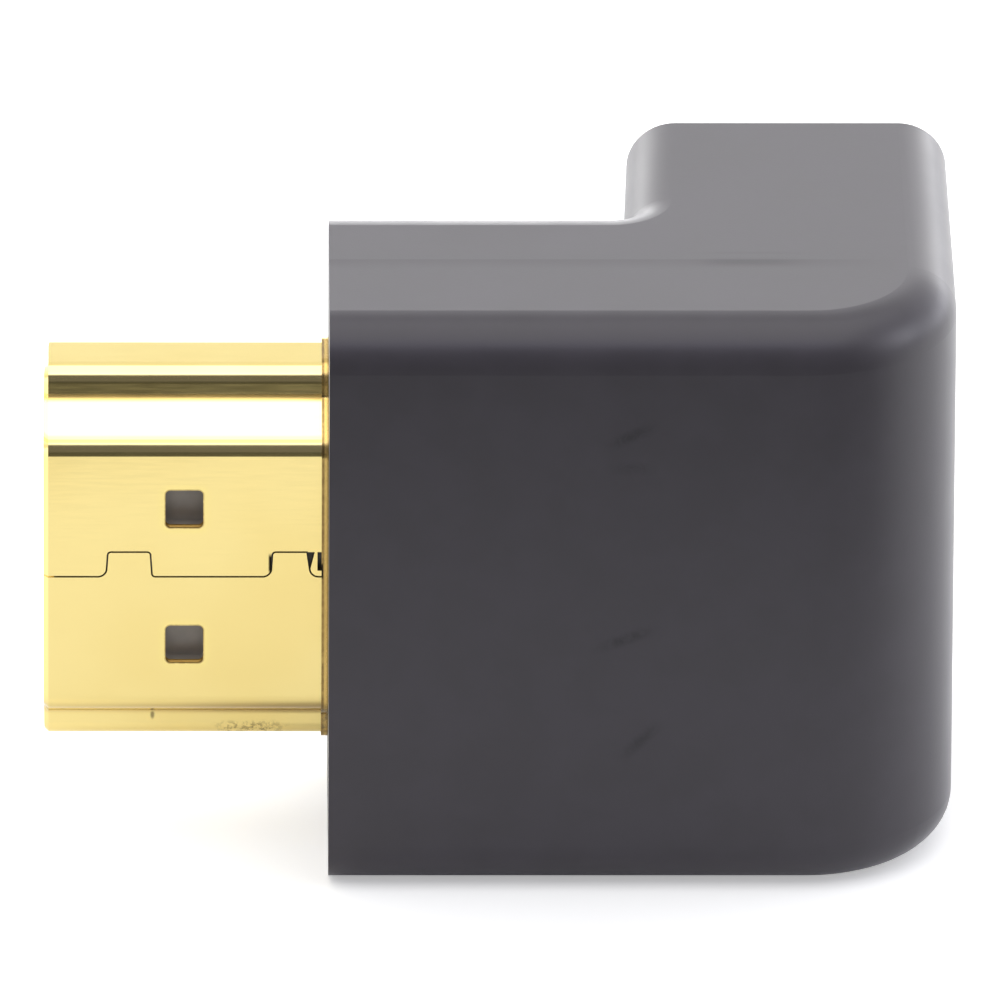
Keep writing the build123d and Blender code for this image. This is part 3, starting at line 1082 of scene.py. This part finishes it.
@dataclass
class SubAssembly:
    """Pieces of the adapter that belong together."""

    def put_on(self, finish: Finish, names: list[str]) -> None:
        """Gives CAD nodes a finish.

        Args:
            finish: The finish to put on.
            names: Names of the nodes.
        """
        material = finish.material()
        for name in names:
            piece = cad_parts[name]
            piece.data.materials.clear()
            piece.data.materials.append(material)
            log.info("%s: %s, %d faces", name, finish.name, len(piece.data.polygons))

    def numbered(self, stem: str, count: int) -> list[str]:
        """Returns the names of a row of like nodes."""
        return [f"{stem}_{number:02d}" for number in range(1, count + 1)]

    def dress(self) -> None:
        """Gives each piece of the sub-assembly its finish."""
        raise NotImplementedError


@dataclass
class Housing(SubAssembly):
    """The outer moulding, the inner mould and the board that they hold.

    Attributes:
        scuffs: The scuffs on the face that the camera sees.
    """

    scuffs: tuple[Scuff, ...] = (
        Scuff((10.21 * MM, 6.64 * MM), half_length=0.90 * MM, lean=26.0, share=0.60),
        Scuff((10.24 * MM, 5.42 * MM), half_length=0.80 * MM, lean=0.0, share=0.36),
        Scuff((10.01 * MM, -1.01 * MM), half_length=1.10 * MM, lean=22.0, share=0.60),
        Scuff((10.55 * MM, -4.84 * MM), half_length=0.95 * MM, lean=45.0, share=0.52),
    )

    def dress(self) -> None:
        """Gives the mouldings and the board their finishes."""
        self.put_on(SatinMoulding("satin_moulding", Slot.HOUSING, scuffs=self.scuffs), ["outer_housing"])
        self.put_on(NaturalMoulding("natural_moulding", Slot.INNER), ["inner_mould"])
        self.put_on(LacqueredLaminate("lacquered_laminate", Slot.BOARD), ["circuit_board"])


@dataclass
class Plug(SubAssembly):
    """The plug: its folded sheet, the collar behind it, the insulator and the spring contacts.

    Attributes:
        contact_count: Number of spring contacts.
    """

    contact_count: int = 19

    def dress(self) -> None:
        """Gives the plug's pieces their finishes."""
        plating = PlugPlating("plug_plating", Slot.GOLD)
        self.put_on(plating, ["plug_shell"])
        self.put_on(CollarPlating("collar_plating", Slot.GOLD), ["plug_rear_sleeve"])
        nylon = FilledNylon("plug_nylon", Slot.INSULATOR, windows=plating.windows)
        self.put_on(nylon, ["plug_insulator"])
        contacts = ContactPlating("plug_contact_plating", Slot.CONTACT)
        self.put_on(contacts, self.numbered("plug_contact", self.contact_count))


@dataclass
class Socket(SubAssembly):
    """The socket: its sheet sleeve, the insulator with its tongue, and the blade contacts.

    Attributes:
        contact_count: Number of blade contacts.
        lines: Stamping lines of the contacts, which stand along Y.
    """

    contact_count: int = 19
    lines: Grain = Grain(16000.0, detail=3.0, roughness=0.6, stretch=(1.0, 0.05, 1.0))

    def dress(self) -> None:
        """Gives the socket's pieces their finishes."""
        self.put_on(GoldPlating("socket_plating", Slot.GOLD), ["socket_shell"])
        self.put_on(FilledNylon("socket_nylon", Slot.INSULATOR), ["socket_insulator"])
        contacts = ContactPlating("socket_contact_plating", Slot.CONTACT, lines=self.lines)
        self.put_on(contacts, self.numbered("socket_contact", self.contact_count))


@dataclass
class Camera:
    """The photograph's camera, by the place where the adapter's origin shows in the picture.

    Attributes:
        azimuth: Turn round the adapter, in degrees.
        elevation: Height above the horizon, in degrees.
        roll: Turn about the line of sight, in degrees.
        distance: Distance from the origin.
        pixels_per_metre: Scale of the picture at the origin.
        origin_pixel: Column and row where the origin shows.
        picture_width: Width and height of the picture, in pixels.
        sensor: Width of the sensor, in millimetres.
        clip: Nearest and farthest distance that it sees.
    """

    azimuth: float = 0.34
    elevation: float = 26.0
    roll: float = 0.16
    distance: float = 1.166
    pixels_per_metre: float = 29461.0
    origin_pixel: Pair = (328.3, 548.03)
    picture_width: int = 1000
    sensor: float = 36.0
    clip: Span = (0.01, 20.0)

    def build(self) -> None:
        """Makes the camera and sets it as the scene's own."""
        a, e, t = (radians(angle) for angle in (self.azimuth, self.elevation, self.roll))
        sight = Vector((sin(a) * cos(e), cos(a) * cos(e), -sin(e)))
        level = Vector((cos(a), -sin(a), 0.0))
        upright = level.cross(sight)
        right = level * cos(t) + upright * sin(t)
        up = upright * cos(t) - level * sin(t)
        half = self.picture_width / 2
        column, row = self.origin_pixel
        middle = (right * (half - column) + up * (row - half)) / self.pixels_per_metre
        place = -sight * self.distance
        back = (place - middle).normalized()
        side = up.cross(back).normalized()
        turn = Matrix((side, back.cross(side), back)).transposed().to_4x4()
        data = bpy.data.cameras.new("studio_camera")
        data.sensor_width = self.sensor
        data.lens = self.pixels_per_metre * self.distance / self.picture_width * self.sensor
        data.clip_start, data.clip_end = self.clip
        camera = bpy.data.objects.new("studio_camera", data)
        camera.matrix_world = Matrix.Translation(place) @ turn
        bpy.context.scene.collection.objects.link(camera)
        bpy.context.scene.camera = camera
        log.info("camera: lens %.0f mm at %.3f m", data.lens, self.distance)


@dataclass
class Floor:
    """A round pale floor, white to the camera and in reflections but for the adapter's shadow.

    The floor in front of the adapter turns dark under the dark side of the room, so that metal reflects it.

    Attributes:
        radius: Its radius.
        sides: Number of sides of its outline.
        middle: Its middle, under the adapter.
        white: Its reflectance.
        dark: Its reflectance far in front.
        ahead: Shares of forward in a direction over which the front begins.
        dark_reach: Distances over which the front turns dark.
        seen_reach: Distances over which the floor goes from shadow to white for the camera.
        seen_levels: What the camera sees added at those distances.
        mirror_reach: Distances over which the floor goes from shadow to white in reflections.
        mirror_levels: What reflections see added at those distances.
        through: What is seen added through glass.
        spare: Length added to a distance, so that none is divided by zero.
    """

    radius: float = 1.5
    sides: int = 96
    middle: Pair = (0.006, 0.0)
    white: float = 0.90
    dark: float = 0.08
    ahead: Span = (0.2, 0.6)
    dark_reach: Span = (0.036, 0.048)
    seen_reach: Span = (0.02, 0.12)
    seen_levels: Span = (0.4, 1.0)
    mirror_reach: Span = (0.015, 0.10)
    mirror_levels: Span = (0.1, 0.9)
    through: float = 0.5
    spare: float = 1.0 * MM

    def material(self) -> bpy.types.Material:
        """Makes the floor's material.

        Returns:
            The new material.
        """
        material = bpy.data.materials.new("studio_floor")
        material.use_nodes = True
        material.cycles.emission_sampling = "NONE"
        graph = Graph(material.node_tree)
        place, rays = graph.place(), graph.node("LightPath").outputs
        x, y = self.middle
        away = graph.distance(place, (x, y, cad_box[0].z))
        forward = graph.math("DIVIDE", graph.minus(y, graph.along(place, Axis.Y)), graph.plus(away, self.spare))
        front = graph.ramp(forward, self.ahead)
        far_front = graph.times(front, graph.ramp(away, self.dark_reach))
        paper = graph.node("BsdfDiffuse")
        graph.feed(paper, "Color", graph.blend(far_front, (self.white,) * 3, (self.dark,) * 3))
        seen = graph.math("MAXIMUM", graph.ramp(away, self.seen_reach, self.seen_levels), far_front)
        seen = graph.times(rays["Is Camera Ray"], seen)
        beside = graph.times(graph.minus(1.0, front), graph.ramp(away, self.mirror_reach, self.mirror_levels))
        mirrored = graph.times(rays["Is Glossy Ray"], beside)
        behind_glass = graph.times(rays["Is Transmission Ray"], self.through)
        glow = graph.node("Emission")
        graph.feed(glow, "Strength", graph.plus(graph.plus(seen, mirrored), behind_glass))
        both = graph.node("AddShader")
        graph.feed(both, 0, paper.outputs[0])
        graph.feed(both, 1, glow.outputs[0])
        graph.feed(graph.node("OutputMaterial"), "Surface", both.outputs[0])
        return material

    def build(self) -> None:
        """Lays the floor under the adapter."""
        shape = bmesh.new()
        bmesh.ops.create_circle(shape, cap_ends=True, segments=self.sides, radius=self.radius)
        bmesh.ops.translate(shape, verts=shape.verts, vec=(0.0, 0.0, cad_box[0].z))
        mesh = bpy.data.meshes.new("studio_floor")
        shape.to_mesh(mesh)
        shape.free()
        mesh.materials.append(self.material())
        floor = bpy.data.objects.new("studio_floor", mesh)
        bpy.context.scene.collection.objects.link(floor)
        log.info("floor: at %.2f mm", cad_box[0].z / MM)


@dataclass
class Softbox:
    """One wide softbox overhead, as light alone, because the room holds what reflections see of it.

    Attributes:
        size: Width and depth.
        place: Its middle, with the height measured from the floor.
        light: Its brightness, where 1 is white.
    """

    size: Pair = (0.20, 0.225)
    place: Point = (0.006, -0.026, 0.17)
    light: float = 0.85

    def build(self) -> None:
        """Hangs the softbox over the adapter."""
        width, depth = self.size
        x, y, height = self.place
        data = bpy.data.lights.new("softbox", "AREA")
        data.shape = "RECTANGLE"
        data.size = width
        data.size_y = depth
        data.energy = self.light * pi * width * depth
        lamp = bpy.data.objects.new("softbox", data)
        lamp.location = (x, y, cad_box[0].z + height)
        lamp.visible_camera = False
        lamp.visible_glossy = False
        bpy.context.scene.collection.objects.link(lamp)
        log.info("softbox: %.2f by %.3f m, %.3f W", width, depth, data.energy)


@dataclass
class Room:
    """The surroundings: white to the camera, bright behind and at the sides, dark in front.

    Directions are unit vectors, so a height or a share of forward in them runs from -1 to 1.

    Attributes:
        white: Colour of the surroundings to the camera and behind.
        tint_front: Colour of the dark side.
        tint_side: Colour of the light from the right.
        side_turn: Shares of right over which that colour comes in.
        dark: Brightness of the dark side.
        dark_turn: Shares of forward over which the dark side begins.
        low: Brightness behind near the horizon, in reflections.
        high: Brightness higher up round the softbox, in reflections.
        low_rise: Heights over which the first goes to the second.
        low_turn: Shares of forward over which the low light behind ends.
        window_glow: Brightness that a window at the side adds in reflections.
        window_middle: Direction of that window.
        window_reach: Distances from that direction over which it fades out.
        box_mirror: Brightness of the softbox in reflections.
        box_front: Slopes forward over which its front edge fades out.
        box_back: Slopes forward over which its back edge comes in.
        box_side: Slopes sideways over which its sides fade out.
        back: Brightness behind near the horizon, as light.
        fill: Brightness elsewhere, as light.
        back_rise: Heights over which the first goes to the second.
        back_turn: Shares of forward over which the light behind ends.
        horizon: Least height that the slopes are worked out with.
    """

    white: Colour = (1.0, 1.0, 1.0)
    tint_front: Colour = (0.95, 0.97, 1.25)
    tint_side: Colour = (0.97, 0.98, 1.06)
    side_turn: Span = (0.3, 0.8)
    dark: float = 0.16
    dark_turn: Span = (0.48, 0.66)
    low: float = 6.0
    high: float = 1.0
    low_rise: Span = (0.0, 0.40)
    low_turn: Span = (-0.55, -0.05)
    window_glow: float = 4.6
    window_middle: Point = (0.92, -0.15, 0.36)
    window_reach: Span = (0.12, 0.38)
    box_mirror: float = 2.4
    box_front: Span = (0.78, 1.35)
    box_back: Span = (-0.42, -0.32)
    box_side: Span = (0.55, 0.68)
    back: float = 4.3
    fill: float = 0.85
    back_rise: Span = (0.1, 0.6)
    back_turn: Span = (-0.2, 0.1)
    horizon: float = 0.01

    def softbox(self, graph: Graph, direction: Value, forward: Value) -> Value:
        """Marks the softbox among the directions.

        Args:
            graph: The world's node tree.
            direction: The direction looked in.
            forward: The share of forward in it.

        Returns:
            The mark, 1 where the softbox is.
        """
        upward = graph.math("MAXIMUM", graph.along(direction, Axis.Z), self.horizon)
        lean = graph.math("DIVIDE", forward, upward)
        aside = graph.math("DIVIDE", graph.math("ABSOLUTE", graph.along(direction, Axis.X)), upward)
        mark = graph.times(graph.ramp(lean, self.box_front, FALL), graph.ramp(lean, self.box_back))
        return graph.times(mark, graph.ramp(aside, self.box_side, FALL))

    def build(self) -> None:
        """Sets the surroundings as the scene's world."""
        world = bpy.data.worlds.new("studio_room")
        world.use_nodes = True
        world.cycles.sampling_method = "NONE"
        bpy.context.scene.world = world
        graph = Graph(world.node_tree)
        direction, rays = graph.node("TexCoord").outputs["Generated"], graph.node("LightPath").outputs
        forward, height = graph.times(graph.along(direction, Axis.Y), -1.0), graph.along(direction, Axis.Z)
        front = graph.ramp(forward, self.dark_turn)
        behind = graph.ramp(height, self.low_rise, (self.low, self.high))
        mirrored = graph.mix(graph.ramp(forward, self.low_turn), behind, self.high)
        mirrored = graph.mix(front, mirrored, self.dark)
        window = graph.distance(direction, self.window_middle)
        mirrored = graph.plus(mirrored, graph.ramp(window, self.window_reach, (self.window_glow, 0.0)))
        mirrored = graph.mix(self.softbox(graph, direction, forward), mirrored, self.box_mirror)
        fill = graph.ramp(height, self.back_rise, (self.back, self.fill))
        light = graph.mix(graph.ramp(forward, self.back_turn), fill, self.fill)
        light = graph.mix(front, light, self.dark)
        level = graph.mix(rays["Is Glossy Ray"], light, mirrored)
        level = graph.mix(rays["Is Transmission Ray"], level, mirrored)
        level = graph.mix(rays["Is Camera Ray"], level, 1.0)
        tint = graph.blend(front, self.white, self.tint_front)
        right = graph.ramp(graph.along(direction, Axis.X), self.side_turn)
        tint = graph.blend(right, tint, self.tint_side)
        tint = graph.blend(rays["Is Camera Ray"], tint, self.white)
        sky = graph.node("Background")
        graph.feed(sky, "Color", tint)
        graph.feed(sky, "Strength", level)
        graph.feed(graph.node("OutputWorld"), "Surface", sky.outputs[0])
        log.info("room: %.1f behind, %.2f in front", self.low, self.dark)


@dataclass
class Studio:
    """The photograph's camera, and what stands and shines round the adapter.

    Attributes:
        camera: The photograph's camera.
        floor: The floor.
        softbox: The softbox overhead.
        room: The surroundings.
    """

    camera: Camera = field(default_factory=Camera)
    floor: Floor = field(default_factory=Floor)
    softbox: Softbox = field(default_factory=Softbox)
    room: Room = field(default_factory=Room)

    def build(self) -> None:
        """Builds the whole studio."""
        for part in (self.camera, self.floor, self.softbox, self.room):
            part.build()
        bpy.context.scene.view_settings.view_transform = "Standard"


def main() -> None:
    """Builds the studio and dresses the adapter."""
    logging.basicConfig(level=logging.INFO, format="%(name)s: %(message)s")
    Studio().build()
    for part in (Housing(), Plug(), Socket()):
        part.dress()


if __name__ == "__main__":
    main()
